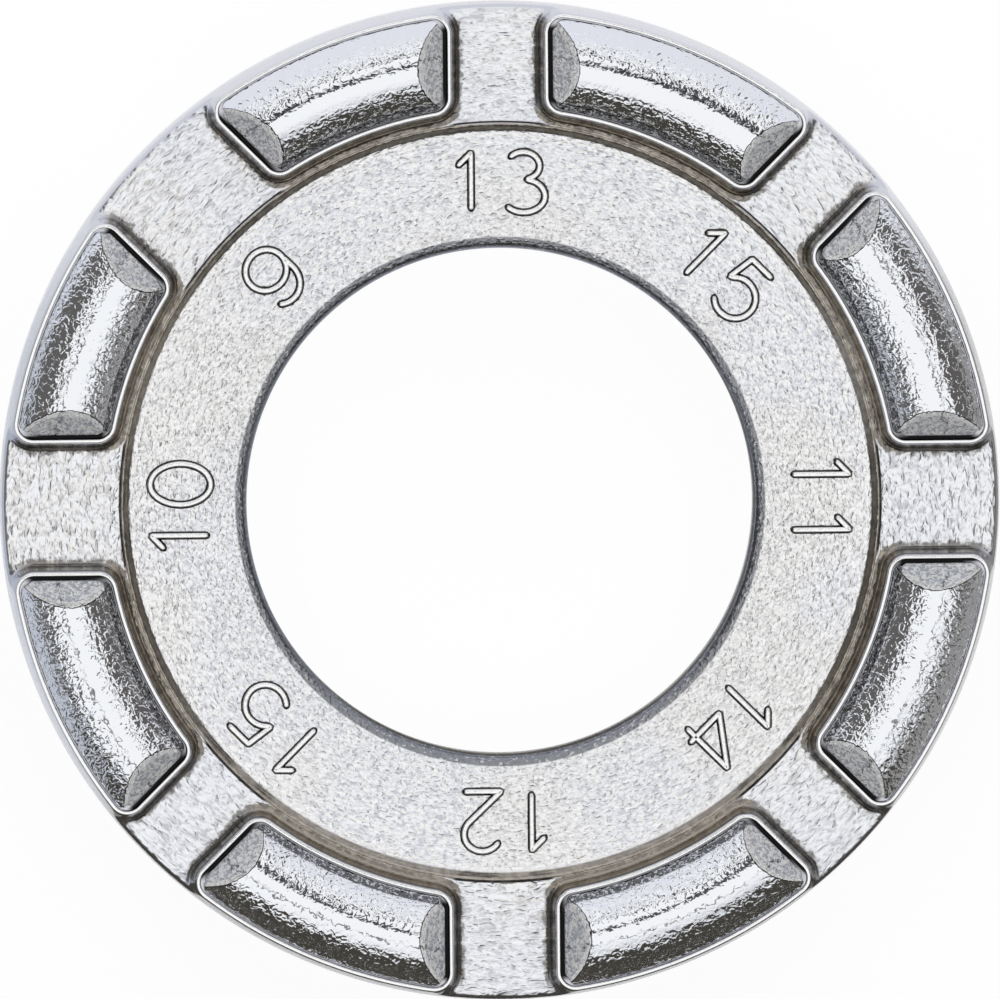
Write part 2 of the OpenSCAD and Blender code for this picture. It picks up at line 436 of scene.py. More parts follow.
def pad_rows(plan, outline):
    """Rows of a pad from its foot to its pocket, which is one flat face: the row at the foot."""
    points, away = outline
    outward = outwardness(outline)
    row = drawn_out(outline, FOOT_END + HOLD, foot_limit_r)
    reach = ((row - points) * away).sum(1)
    foot = last = plan.row(row, face_height(row, reach), FOOT_END + HOLD, outward)
    for d, z in reversed(LEVELS):
        row = drawn_out(outline, d, rim_at(z))
        reach = ((row - points) * away).sum(1)
        ids = plan.row(row, face_height(row, reach) if d > 0 else z, d, outward)
        plan.strip(last, ids)
        last = ids
    plan.faces.append([int(i) for i in last])
    return foot


plan = Plan()
hole_row, step_row = web_rows(plan)
rim_row, rim_top_row = rim_rows(plan)
feet = [pad_rows(plan, outline) for outline in pads]
plan.fill(rim_top_row, [step_row, *feet], mouth_points(plan) + floor_points(plan))
print("points and faces on one face:", plan.count, len(plan.faces))

# %% [markdown]
# The back is taken to have the same form as the front, so its points are the front's turned over.
# Two more strips, along the wall of the hole and round the rim, close the skin.

# %% Mesh of the casting
CASTING_SHARP, BAR_SHARP, NUMBER_SHARP = 40, 20, 50


def shade(mesh, sharp_deg):
    """Smooth shading, apart from edges where the surface turns by more than sharp_deg."""
    mesh.polygons.foreach_set("use_smooth", [True] * len(mesh.polygons))
    mesh.set_sharp_from_angle(angle=math.radians(sharp_deg))


def add_mesh(name, points, faces, sharp_deg=CASTING_SHARP):
    mesh = bpy.data.meshes.new(name)
    mesh.from_pydata((points * MM).tolist(), [], faces)
    shade(mesh, sharp_deg)
    obj = bpy.data.objects.new(name, mesh)
    bpy.context.scene.collection.objects.link(obj)
    return obj


def both_faces(plan, joints):
    """A closed mesh: the plan above, its copy turned over below, and strips at the joints."""
    flat, heights = np.concatenate(plan.points), np.concatenate(plan.heights)
    points = np.concatenate([np.c_[flat, heights], np.c_[flat, -heights]])
    n = len(flat)
    faces = plan.faces + [[i + n for i in reversed(face)] for face in plan.faces]
    for around in joints:
        ahead = np.roll(around, -1)
        faces += np.stack([around, ahead, ahead + n, around + n], 1).tolist()
    return points, faces


ring_points, ring_faces = both_faces(plan, [hole_row, rim_row[::-1]])
casting = add_mesh("casting", ring_points, ring_faces)
for key, values in (("from_lip", plan.from_lip), ("outward", plan.outward)):
    attribute = casting.data.attributes.new(key, "FLOAT", "POINT")
    attribute.data.foreach_set("value", np.tile(np.concatenate(values), 2))
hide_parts("ring_body")
print("casting faces:", len(ring_faces))

# %% [markdown]
# ## One helper for every node
# Every node tree below is built with one small function. It adds a node, sets its options, fills
# its sockets in order or by name, with values or links, and gives the output that the next node
# wants. Writing it all out would do the same in three times the lines. Colours are written the
# way a paint chart gives them, as sRGB hex, and one function turns them to linear values.

# %% Nodes and colours
# Kinds of node by short names, some with the one setting that they always have here.
SPLIT, JOIN = "ShaderNodeSeparateXYZ", "ShaderNodeCombineXYZ"
NOISE, BUMP, PLACES = "ShaderNodeTexNoise", "ShaderNodeBump", "ShaderNodeTexCoord"
METAL, SURFACE = "ShaderNodeBsdfPrincipled", "ShaderNodeOutputMaterial"
SMOOTH = ("ShaderNodeMapRange", {"interpolation_type": "SMOOTHSTEP"})
PLUS, MINUS, TIMES, OVER, TIMES_PLUS, ABSOLUTE, SIGN, ROOT, LESSER, GREATER = (
    ("ShaderNodeMath", {"operation": name})
    for name in "ADD SUBTRACT MULTIPLY DIVIDE MULTIPLY_ADD ABSOLUTE SIGN SQRT MINIMUM MAXIMUM".split()
)
LENGTH, UNIT, SCALED, SUM, DOT = (
    ("ShaderNodeVectorMath", {"operation": name})
    for name in "LENGTH NORMALIZE SCALE ADD DOT_PRODUCT".split()
)
NUMBER_MIX, VECTOR_MIX, COLOUR_MIX = (
    ("ShaderNodeMix", {"data_type": name}) for name in "FLOAT VECTOR RGBA".split()
)


def colour(hex_code):
    parts = [int(hex_code[i : i + 2], 16) / 255 for i in (1, 3, 5)]
    return [c / 12.92 if c <= 0.04045 else ((c + 0.055) / 1.055) ** 2.4 for c in parts] + [1]


def add(tree, kind, sockets=(), out=0, **settings):
    """A new node with its options set and its sockets filled: gives its output out."""
    kind, always = (kind, {}) if isinstance(kind, str) else kind
    node = tree.nodes.new(kind)
    for key, value in {**always, **settings}.items():
        setattr(node, key, value)
    pairs = sockets.items() if isinstance(sockets, dict) else enumerate(sockets)
    for socket, value in pairs:
        if isinstance(value, bpy.types.NodeSocket):
            tree.links.new(value, node.inputs[socket])
        else:
            is_hex = isinstance(value, str) and value.startswith("#")
            node.inputs[socket].default_value = colour(value) if is_hex else value
    return node.outputs[out] if len(node.outputs) else None


def new_material(name):
    material = bpy.data.materials.new(name)
    material.use_nodes = True
    material.node_tree.nodes.clear()
    return material


print("mid grey #808080 in linear values:", round(colour("#808080")[0], 3))

# %% [markdown]
# ## Masks and layers
# A finish is put together the way a painter would: a base colour, and thin layers over it, each
# held back by a mask that is 1 where the layer shows. Three more functions do that with several
# nodes each. They find a narrow band of values, multiply masks, and lay the layers.


# %% Masks and layers
def close_to(tree, value, middle, half, soft):
    """1 where value is within half of middle, falling to 0 over soft."""
    off = add(tree, ABSOLUTE, [add(tree, MINUS, [value, middle])])
    return add(tree, SMOOTH, [off, half, half + soft, 1.0, 0.0])


def overlap(tree, *masks):
    """The product of the masks: a mask that is 1 only where all of them are."""
    whole = masks[0]
    for mask in masks[1:]:
        whole = add(tree, TIMES, [whole, mask])
    return whole


def layered(tree, base, *layers):
    """The base colour under layers, each given as its mask and its tint."""
    for mask, tint in layers:
        base = add(tree, COLOUR_MIX, {0: mask, 6: base, 7: tint}, 2)
    return base


print("made:", ", ".join(helper.__name__ for helper in (close_to, overlap, layered)))

# %% [markdown]
# ## Patterns that run round the ring
# The grain of the casting and the polishing streaks both run round the axis. A noise on plain
# Object coordinates would run the same way everywhere, and a UV map would need a seam. So each
# point is first moved along its own radius to one middle radius, which makes the pattern longer
# round the ring than across it, and the true radius is added to the height to keep the pattern
# changing across. The radius in millimetres is handed back too, because many masks read it.


# %% Coordinates wrapped round the ring
def wrapped_round(tree, place, middle_mm, stretch):
    """Coordinates in which a pattern grows longer round the ring by stretch, and the radius."""
    x, y, z = add(tree, SPLIT, [place]).node.outputs
    flat = add(tree, JOIN, [x, y])
    radius = add(tree, LENGTH, [flat], "Value")
    away = add(tree, UNIT, [flat])
    around = add(tree, SCALED, {0: away, "Scale": middle_mm * MM / stretch})
    across = add(tree, JOIN, {2: add(tree, PLUS, [radius, z])})
    wrapped = add(tree, SUM, [around, across])
    return wrapped, add(tree, OVER, [radius, MM])


def scale_for(size_mm):
    """The Scale of a noise whose lumps are about size_mm across."""
    return 1 / (size_mm * MM)


print("scale of a 0.2 mm grain:", round(scale_for(0.2)))

# %% [markdown]
# ## Plated casting: places
# The ring is cast, tumbled and plated with nickel under thin chrome. The plating is a mirror in
# itself, and what the eye reads is the casting under it: grainy floors, walls with a brownish stain
# and painted shade, and lips rubbed bright under a painted highlight. Painted masks could place all
# that. The mesh can do it more exactly, because it carries the distance from the nearest lip and how
# far a wall faces outwards. The radius and the slope of the surface tell the rest.

# %% Places on the casting
GRAIN_MIDDLE_R, GRAIN_STRETCH = 14.0, 1.6
CHANNEL_START_R, LEVEL_ABOVE, WALL_END = (16.9, 17.2), (0.72, 0.95), (0.3, 0.5)

plating = new_material("chrome plated casting")
tree = plating.node_tree
coordinates = add(tree, PLACES).node.outputs
place = coordinates["Object"]
wrapped, radius = wrapped_round(tree, place, GRAIN_MIDDLE_R, GRAIN_STRETCH)
from_lip = add(tree, "ShaderNodeAttribute", out="Fac", attribute_name="from_lip")
# 1 on the rim's side of a pad, 0 beside its channels and -1 on the hole's side.
outward = add(tree, "ShaderNodeAttribute", out="Fac", attribute_name="outward")
upright = add(tree, ABSOLUTE, [add(tree, SPLIT, [coordinates["Normal"]], "Z")])
level = add(tree, SMOOTH, [upright, *LEVEL_ABOVE])
off_walls = add(tree, SMOOTH, [from_lip, *WALL_END])
on_floors = overlap(tree, level, off_walls)
on_walls = add(tree, MINUS, [1.0, on_floors])
in_channels = add(tree, SMOOTH, [radius, *CHANNEL_START_R])
print("casting's finish, nodes so far:", len(tree.nodes))

# %% [markdown]
# ## Plated casting: grain
# The mould left a grain of about 0.1 mm. In this view a pixel is 0.045 mm, so the pattern is
# drawn a little coarser, at 0.15 mm on the band and 0.2 mm in the channels, where the real one is
# rougher too. Its peaks are near white and its pits grey. Bump alone would give the sparkle but
# not the pits, in which dirt stays after tumbling, so the same noise tints the metal as well.

# %% Grain of the casting
# The real grain, 0.1 mm, is too fine to show here, so these are as coarse as they need to be.
BAND_GRAIN, CHANNEL_GRAIN, CLOUD_SIZE = 0.15, 0.2, 8
PEAKS, PITS, PIT_DEPTH_BAND, PIT_DEPTH_CHANNELS = (0.45, 0.58), (0.3, 0.46), 0.3, 0.34

fine_set = {"Vector": wrapped, "Scale": scale_for(BAND_GRAIN), "Detail": 1.0, "Distortion": 0.5}
rough_set = {"Vector": wrapped, "Scale": scale_for(CHANNEL_GRAIN), "Detail": 1.0, "Distortion": 0.7}
grains = {0: in_channels, 2: add(tree, NOISE, fine_set), 3: add(tree, NOISE, rough_set)}
grain = add(tree, NUMBER_MIX, grains)
clouds = add(tree, NOISE, {"Vector": place, "Scale": scale_for(CLOUD_SIZE), "Detail": 1.0})
grey = layered(tree, "#f5f7fd", (add(tree, SMOOTH, [clouds, 0.4, 0.6]), "#f9f8f7"))
white = layered(tree, "#ffffff", (in_channels, "#f9fbff"))
peaks = add(tree, SMOOTH, [grain, *PEAKS])
pits = add(tree, SMOOTH, [grain, *PITS, 1.0, 0.0])
pit_depth = add(tree, NUMBER_MIX, {0: in_channels, 2: PIT_DEPTH_BAND, 3: PIT_DEPTH_CHANNELS})
pits = overlap(tree, pits, pit_depth)
print("casting's finish, nodes so far:", len(tree.nodes))

# %% [markdown]
# ## Plated casting: stain and painted shade on walls and grooves
# The walls of the pads get a thin brownish layer, a stain and painted shade together, that ends in
# a ragged line on the floor. It is warm where a wall faces the middle of the ring and reaches
# further there, plain grey towards the channels, and missing on the rim. Right under the lip runs a
# painted dark line of shade, and the groove between lip and bar is painted nearly black at the
# ends of a bar, as the shade where no light gets in.

# %% Stain and painted shade on walls and grooves
RAGGED_SIZE, STAIN_AND_SHADE_START, STAIN_AND_SHADE_END, STAIN_AND_SHADE_JITTER, STAIN_AND_SHADE = 0.35, (0.015, 0.05), (0.4, 0.6), 0.8, 0.85
LIP_SHADE, GROOVE_SHADE = (0.055, 0.015, 0.03), (-0.17, -0.13)

ragged = add(tree, NOISE, {"Vector": place, "Scale": scale_for(RAGGED_SIZE), "Roughness": 0.6})
off_rim = add(tree, SMOOTH, [outward, 0.2, 0.7, 1.0, 0.0])
jitter = add(tree, MINUS, [ragged, 0.5])
ragged_reach = add(tree, TIMES_PLUS, [jitter, STAIN_AND_SHADE_JITTER, from_lip])
further = add(tree, SMOOTH, [outward, -0.8, -0.4, 0.3, 0.0])
ragged_reach = add(tree, MINUS, [ragged_reach, further])
below_lip = add(tree, SMOOTH, [from_lip, *STAIN_AND_SHADE_START])
above_floor = add(tree, SMOOTH, [ragged_reach, *STAIN_AND_SHADE_END, 1.0, 0.0])
# Stain and painted shade at the feet of the walls: brownish, and darker where the surface is level.
stain_and_shade = overlap(tree, below_lip, above_floor, off_rim, STAIN_AND_SHADE)

warm_stain_and_shade = layered(tree, "#b4a893", (level, "#6f6454"))
at_channels = add(tree, SMOOTH, [outward, -0.9, -0.4])
speckles = add(tree, SMOOTH, [ragged, 0.45, 0.65])
stain_and_shade_tint = layered(tree, warm_stain_and_shade, (at_channels, "#807d79"), (speckles, "#9c9280"))
# A painted dark line of shade right under the lip, kept off the rim.
lip_shade = overlap(tree, close_to(tree, from_lip, *LIP_SHADE), off_rim)

# Painted shade in the groove between lip and bar: darkest at the bar's ends, half along its sides,
# faint at the rim.
along_ring = add(tree, SMOOTH, [add(tree, ABSOLUTE, [outward]), 0.4, 0.9])
fainter_along = add(tree, NUMBER_MIX, {0: along_ring, 2: 1.0, 3: 0.5})
fainter_at_rim = add(tree, NUMBER_MIX, {0: off_rim, 2: 0.1, 3: 1.0})
in_groove = add(tree, SMOOTH, [from_lip, *GROOVE_SHADE, 1.0, 0.0])
groove_shade = overlap(tree, fainter_along, fainter_at_rim, in_groove)
print("casting's finish, nodes so far:", len(tree.nodes))

# %% [markdown]
# ## Plated casting: rings of tone
# Four edges run right round: the rubbed lip with a painted highlight, the step in painted
# brownish shade, a painted dark line where the step meets a channel, and a painted white line of
# highlight at its foot. The rounded edge of the hole gets a painted dark reflection of the dark
# below the table. Real reflections give some of this, and the tints paint the rest as light and
# shade.

# %% Edges of the casting
RUBBED_LIP_HIGHLIGHT, STEP_SHADE, STEP_SHADE_STRENGTH = (-0.09, 0.06, 0.02), (16.88, 0.14, 0.06), 0.85
CHANNEL_SHADE_LINE, STEP_FOOT_HIGHLIGHT, BEVEL_REFLECTION_R = (17.12, 0.02, 0.05), (16.56, 0.05, 0.05), (11.88, 11.96)

# The lip rubbed bright, with a painted highlight along its top.
rubbed_and_highlight = close_to(tree, from_lip, *RUBBED_LIP_HIGHLIGHT)
# Painted brownish shade on the step, speckled, and kept off the feet of the walls.
step_shade = overlap(tree, close_to(tree, radius, *STEP_SHADE), off_walls, STEP_SHADE_STRENGTH)
step_shade_tint = layered(tree, "#988e7e", (add(tree, SMOOTH, [ragged, 0.4, 0.6]), "#b3aa9a"))
open_floor = add(tree, SMOOTH, [from_lip, 0.58, 0.8])
# A painted dark line of shade where the step meets a channel floor.
channel_shade_line = overlap(tree, close_to(tree, radius, *CHANNEL_SHADE_LINE), open_floor)
# A painted white highlight along the foot of the step.
step_foot_highlight = close_to(tree, radius, *STEP_FOOT_HIGHLIGHT)
sparkle = add(tree, SMOOTH, [grain, 0.58, 0.7, 1.0, 0.45])
# A painted dark reflection on the rounded edge of the hole, weaker on the grain's peaks.
bevel_dark_reflection = overlap(tree, add(tree, SMOOTH, [radius, *BEVEL_REFLECTION_R, 0.85, 0.0]), sparkle)
print("casting's finish, nodes so far:", len(tree.nodes))

# %% [markdown]
# ## Plated casting: the finish
# All layers go on in order. The bump follows the grain, strong on the floors and nearly nothing
# on the walls and lips, and the floors are a little duller.

# %% Material: chrome plated casting
BUMP_WALLS, BUMP_BAND, BUMP_CHANNELS, GRAIN_DEPTH = 0.08, 0.58, 0.66, 0.16
WALL_ROUGHNESS, FLOOR_ROUGHNESS = 0.2, 0.28

# Grain first, then the stain, the painted highlights and the painted shade, laid on in order.
metal_tint = layered(
    tree,
    grey,
    (peaks, white),
    (pits, "#7c7d84"),
    (on_walls, "#dcdde3"),
    (rubbed_and_highlight, "#ffffff"),
    (stain_and_shade, stain_and_shade_tint),
    (lip_shade, "#55524f"),
    (groove_shade, "#1c1b1c"),
    (step_shade, step_shade_tint),
    (channel_shade_line, "#33302d"),
    (step_foot_highlight, "#ffffff"),
    (bevel_dark_reflection, "#7c7f87"),
)
floor_bump = add(tree, NUMBER_MIX, {0: in_channels, 2: BUMP_BAND, 3: BUMP_CHANNELS})
strength = add(tree, NUMBER_MIX, {0: on_floors, 2: BUMP_WALLS, 3: floor_bump})
grain_bump = {"Height": grain, "Distance": GRAIN_DEPTH * MM, "Strength": strength}
# Nickel and chrome plate: a full metal, fairly sharp on the walls and frosted on the grainy
# floors, so the floors look pale and even and only the edges flash.
plated_set = {
    "Base Color": metal_tint,
    "Metallic": 1.0,
    "Roughness": add(tree, SMOOTH, [on_floors, 0.0, 1.0, WALL_ROUGHNESS, FLOOR_ROUGHNESS]),
    "Normal": add(tree, BUMP, grain_bump),
}
add(tree, SURFACE, {"Surface": add(tree, METAL, plated_set)})
casting.data.materials.append(plating)
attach(casting, "root")
print("casting's finish, nodes in all:", len(tree.nodes))

# %% [markdown]
# ## Polished bars
# Each pad carries a hard bar with a round back, like the segment of a ring. Its ends are ground
# down to a flat, which leaves a lens-shaped facet. The gap to the lip is wide at the corners and
# narrow along the sides. Sixteen bars follow one rule, so a Geometry Nodes tree raises them from
# flat blanks. These are the sizes, and the distances that a blank needs.

# %% Sizes of a bar
GROOVE_W, FACET_RUN, FACET_DROP = 0.17, 1.14, 1.06
GAP_AT_SIDES = [0, 0.2, 0.6, 0.92, 1]
GAP_WIDTHS = [0.19, 0.2, 0.27, 0.09, 0.06]

crown_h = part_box("front_bar_11_15")[1].z / MM
bar_mid_r = lip_out_r - PAD_W / 2
bar_half_w = PAD_W / 2 - LIP_W - min(GAP_WIDTHS)
bar_inset = LIP_W + GROOVE_W
arch_h = crown_h - lip_h
arch_r = (bar_half_w**2 + arch_h**2) / (2 * arch_h)
facet_slope = FACET_DROP / FACET_RUN


def bar_insets(outline):
    """How far the bar stands inside the lip's outline: widest at its corners."""
    side = np.abs(outwardness(outline))
    return LIP_W + np.interp(side, GAP_AT_SIDES, GAP_WIDTHS)[:, None]


def from_ends(points, k):
    """Distance from the nearer end of the bar between channels k and k + 1."""
    gaps = [
        bank * turned(points, -j * PITCH)[:, 1] - half_mouth(j) - bar_inset
        for j, bank in ((k, 1), (k + 1, -1))
    ]
    return np.min(gaps, 0)


print("crown height and radius of the back, mm:", round(crown_h, 2), round(arch_r, 2))

# %% [markdown]
# The line where the round back meets a facet is a sharp crease. Points put exactly on that line
# keep it clean, and a grid of points elsewhere gives the back its roundness. Points too near the
# crease or outside the bar are left out.

# %% Points on top of a bar
BAR_ROWS, BAR_SPACING, CREASE_POINTS, CREASE_START = 25, 0.2, 60, 0.12
CREASE_CLEAR, EDGE_CLEAR = 0.05, 0.03
facet_half_w = math.sqrt(arch_r**2 - (arch_r - FACET_DROP) ** 2)


def depth_inside(points, loop):
    """Distance of each point to the closed loop, negative for points outside it."""
    a, b = loop, np.roll(loop, -1, 0)
    along = b - a
    rel = points[:, None] - a[None]
    share = np.clip((rel * along).sum(2) / (along**2).sum(1), 0, 1)
    gap = np.hypot(*np.moveaxis(rel - share[..., None] * along, 2, 0)).min(1)
    rises = (a[:, 1] > points[:, 1:]) != (b[:, 1] > points[:, 1:])
    with np.errstate(divide="ignore", invalid="ignore"):
        cross_x = a[:, 0] + (points[:, 1:] - a[:, 1]) * along[:, 0] / along[:, 1]
    hits = (rises & (points[:, :1] < cross_x)).sum(1)
    return np.where(hits % 2 == 1, gap, -gap)


def crease_points(k):
    """Where the round back meets the facets at both ends of a bar."""
    turns = np.linspace(CREASE_START, math.pi - CREASE_START, CREASE_POINTS)
    offset = facet_half_w * np.cos(turns)
    arch_drop = arch_r - np.sqrt(arch_r**2 - offset**2)
    found = []
    for j, bank in ((k, 1), (k + 1, -1)):
        across = half_mouth(j) + bar_inset + FACET_RUN - arch_drop / facet_slope
        local = np.stack([np.sqrt((bar_mid_r + offset) ** 2 - across**2), bank * across], 1)
        found.append(turned(local, j * PITCH))
    return np.concatenate(found)


def top_points(k, edge):
    """A grid that follows the ring, and the two creases, all of it inside the bar's edge."""
    radii = np.linspace(bar_mid_r - bar_half_w, bar_mid_r + bar_half_w, BAR_ROWS)
    turns = np.arange(k * PITCH, (k + 1) * PITCH, BAR_SPACING / bar_mid_r)
    grid = np.concatenate([np.stack([r * np.cos(turns), r * np.sin(turns)], 1) for r in radii])
    crease = crease_points(k)
    apart = np.hypot(*np.moveaxis(grid[:, None] - crease[None], 2, 0)).min(1)
    loose = np.concatenate([grid[apart > CREASE_CLEAR], crease])
    return loose[depth_inside(loose, edge) > EDGE_CLEAR]


print("loose points on the first bar:", len(top_points(0, drawn_out(pads[0], -bar_inset))))

# %% [markdown]
# A blank is the flat outline of a bar, full of points. Three attributes go with it for the tree:
# how far a point is from the bar's end, how much the rounded edge drops there, and whether it
# is on top.

# %% Blank of a bar
BAR_EDGE_R, BAR_EDGE_STEPS = 0.07, 4


def bar_blank(k, side):
    outline = pads[k]
    inset = bar_insets(outline)
    plan = Plan()
    seat = last = plan.row(drawn_out(outline, -inset), 0)
    plan.faces.append([int(i) for i in seat[::-1]])
    drops = [np.zeros(len(seat))]
    for turn in np.linspace(0, math.pi / 2, BAR_EDGE_STEPS + 1):
        edge = drawn_out(outline, -inset - BAR_EDGE_R * (1 - math.cos(turn)))
        row = plan.row(edge, 0)
        plan.strip(last, row)
        drops.append(np.full(len(row), BAR_EDGE_R * (1 - math.sin(turn))))
        last = row
    inside = plan.row(top_points(k, edge), 0)
    drops.append(np.zeros(len(inside)))
    plan.fill(last, [], inside)
    flat = np.concatenate(plan.points)
    faces = plan.faces if side > 0 else [face[::-1] for face in plan.faces]
    blank = add_mesh("blank", np.c_[flat, np.full(len(flat), side * seat_h)], faces)
    values = {
        "from_end": from_ends(flat, k) * MM,
        "edge_drop": np.concatenate(drops) * MM,
        "top": (np.arange(len(flat)) >= len(seat)).astype(float),
    }
    for key, value in values.items():
        blank.data.attributes.new(key, "FLOAT", "POINT").data.foreach_set("value", value)
    return blank


print("rows round a bar's edge:", BAR_EDGE_STEPS + 2)

# %% [markdown]
# ## Trees with named inputs
# Both trees in this script begin and end alike. Their sizes are inputs with names, so that they
# can be changed in the modifier's panel. They end with plain geometry in its own material,
# because the export drops instances.

# %% Tree inputs
ATTRIBUTE = "GeometryNodeInputNamedAttribute"


def new_tree(name, sizes):
    """A Geometry Nodes tree with an input for each size, and the outputs of its input node."""
    tree = bpy.data.node_groups.new(name, "GeometryNodeTree")
    tree.interface.new_socket("Geometry", in_out="INPUT", socket_type="NodeSocketGeometry")
    for key, value in sizes.items():
        kind = "NodeSocketMaterial" if key == "Material" else "NodeSocketFloat"
        socket = tree.interface.new_socket(key, in_out="INPUT", socket_type=kind)
        socket.default_value = value
    tree.interface.new_socket("Geometry", in_out="OUTPUT", socket_type="NodeSocketGeometry")
    return tree, add(tree, "NodeGroupInput").node.outputs


def end_tree(tree, geometry, material):
    """Realize Instances and Set Material, so that the export finds plain geometry."""
    real = add(tree, "GeometryNodeRealizeInstances", [geometry])
    done = add(tree, "GeometryNodeSetMaterial", {"Geometry": real, "Material": material})
    add(tree, "NodeGroupOutput", [done])
    print(tree.name + ": nodes", len(tree.nodes))
    return tree


# %% [markdown]
# ## The tree that raises a bar
# The round back is a circle about a line that follows the ring, and the facet is a plane that
# climbs from the end of the bar. The tree lifts each point of the top to the lower of the two,
# less the drop at the edge. It also stores how far the back lies above the facet, so the finish
# can tell ground metal from polished. A boolean between a bent bar and two planes would give the
# same shape, but without points along the crease to hold its shading.


# %% Tree that raises a bar
def bar_tree(material):
    sizes = {
        "Crown height": crown_h * MM,
        "Middle radius": bar_mid_r * MM,
        "Arch radius": arch_r * MM,
        "Facet drop": FACET_DROP * MM,
        "Facet slope": facet_slope,
        "Side": 1.0,
        "Material": material,
    }
    tree, given = new_tree("Raise a bar", sizes)
    crown, arch_radius = given["Crown height"], given["Arch radius"]
    x, y, _ = add(tree, SPLIT, [add(tree, "GeometryNodeInputPosition")]).node.outputs
    radius = add(tree, LENGTH, [add(tree, JOIN, [x, y])], "Value")
    offset = add(tree, MINUS, [radius, given["Middle radius"]])
    squares = [add(tree, TIMES, [side, side]) for side in (arch_radius, offset)]
    above = add(tree, ROOT, [add(tree, MINUS, squares)])
    arch = add(tree, PLUS, [add(tree, MINUS, [crown, arch_radius]), above])

    from_end, edge_drop, top = (
        add(tree, ATTRIBUTE, {"Name": key}, "Attribute", data_type="FLOAT")
        for key in ("from_end", "edge_drop", "top")
    )
    foot = add(tree, MINUS, [crown, given["Facet drop"]])
    facet = add(tree, TIMES_PLUS, [from_end, given["Facet slope"], foot])

    lower = add(tree, MINUS, [add(tree, LESSER, [arch, facet]), edge_drop])
    height = add(tree, TIMES, [lower, given["Side"]])
    moved = {
        "Geometry": given["Geometry"],
        "Selection": add(tree, "FunctionNodeCompare", [top, 0.5], operation="GREATER_THAN"),
        "Position": add(tree, JOIN, [x, y, height]),
    }
    stored = {
        "Geometry": add(tree, "GeometryNodeSetPosition", moved),
        "Name": "ground",
        "Value": add(tree, MINUS, [arch, facet]),
    }
    as_points = {"data_type": "FLOAT", "domain": "POINT"}
    marked = add(tree, "GeometryNodeStoreNamedAttribute", stored, **as_points)
    return end_tree(tree, marked, given["Material"])


# %% [markdown]
# ## Polished steel: where a bar is worn
# The bars are polished along their length and chrome plated. Their polish isn't flat: under it
# lie shallow lumps, stronger on the flanks than on the crown, and strongest on the bars at the
# left and right of the ring. A drawn pattern of reflections could copy one picture only, so the
# lumps go into the bump, and the mirror does the rest in every view. The sizes here are those of
# the real lumps, 0.16 to 0.28 mm.

# %% Lumps and streaks of a bar
LUMP_SIZE, GRIT_SIZE, STREAK_SIZE, STREAK_STRETCH = 0.25, 0.16, 0.28, 2.5
SIDE_BARS_MM, MORE_AT_SIDES, OFF_CROWN, LUMPS_ON_CROWN = (12, 17), 0.35, (0.4, 1.0), 0.16
LUMP_SHARE, STREAK_SHARE = 0.7, 0.4

polish = new_material("chrome plated polished steel")
tree = polish.node_tree
place = add(tree, PLACES, out="Object")
wrapped, radius = wrapped_round(tree, place, bar_mid_r, STREAK_STRETCH)
streaks = add(tree, NOISE, {"Vector": wrapped, "Scale": scale_for(STREAK_SIZE), "Detail": 1.0})
lump_set = {"Vector": place, "Scale": scale_for(LUMP_SIZE), "Detail": 1.0, "Distortion": 0.7}
lumps = add(tree, NOISE, lump_set)
grit_set = {"Vector": place, "Scale": scale_for(GRIT_SIZE), "Detail": 1.0, "Distortion": 0.8}
grit = add(tree, NOISE, grit_set)

east, _, height = add(tree, SPLIT, [place]).node.outputs
east = add(tree, ABSOLUTE, [east])
at_sides = add(tree, SMOOTH, [east, *(x * MM for x in SIDE_BARS_MM), 0.0, MORE_AT_SIDES])
off_crown = add(tree, ABSOLUTE, [add(tree, MINUS, [radius, bar_mid_r])])
off_crown = add(tree, PLUS, [off_crown, at_sides])
unevenness = add(tree, SMOOTH, [off_crown, *OFF_CROWN, LUMPS_ON_CROWN, 1.0])
streaky = add(tree, TIMES, [streaks, STREAK_SHARE])
surface = add(tree, TIMES_PLUS, [lumps, LUMP_SHARE, streaky])
print("bar's finish, nodes so far:", len(tree.nodes))

# %% [markdown]
# ## Polished steel: ground ends and painted crease highlight
# The attribute from the tree is above nothing on a facet. The line where it passes nothing is
# moved about a little by the lumps, as a hand-held grinder would. Along the crease a painted white
# highlight lies beside a thin painted dark line of shade, and under the highlight the normal is
# turned upwards, where the room is brightest. Two more painted dark lines run along the bar: a
# reflection beside the crown, and shade along the inner edge under the lip.

# %% Ground ends and lines along a bar
WANDER, DULL_FROM, CREASE_HIGHLIGHT, CREASE_SHADE = 0.12, (-0.006, 0.012), (0.09, 0.075, 0.03), (-0.035, 0.012, 0.02)
CROWN_REFLECTION_LINE, CROWN_LINE_WAVES = (bar_mid_r + 0.32, 0.02, 0.05), 0.7
INNER_EDGE_SHADE = (bar_mid_r - bar_half_w + 0.2, 0.12, 0.06)

ground = add(tree, "ShaderNodeAttribute", out="Fac", attribute_name="ground")
uneven = add(tree, MINUS, [lumps, 0.5])
wandering = add(tree, PLUS, [ground, add(tree, TIMES, [uneven, WANDER * MM])])
dull = add(tree, SMOOTH, [wandering, *(x * MM for x in DULL_FROM)])
# A painted white highlight along the crease.
crease_highlight = close_to(tree, wandering, *(x * MM for x in CREASE_HIGHLIGHT))
# A thin painted dark line of shade beside the crease.
crease = close_to(tree, wandering, *(x * MM for x in CREASE_SHADE))

# A painted dark reflection line beside the crown, wavy and broken by the streaks.
wavy_radius = add(tree, TIMES_PLUS, [uneven, CROWN_LINE_WAVES, radius])
broken = add(tree, SMOOTH, [streaks, 0.4, 0.55, 0.2, 0.8])
crown_reflection_line = overlap(tree, close_to(tree, wavy_radius, *CROWN_REFLECTION_LINE), broken)
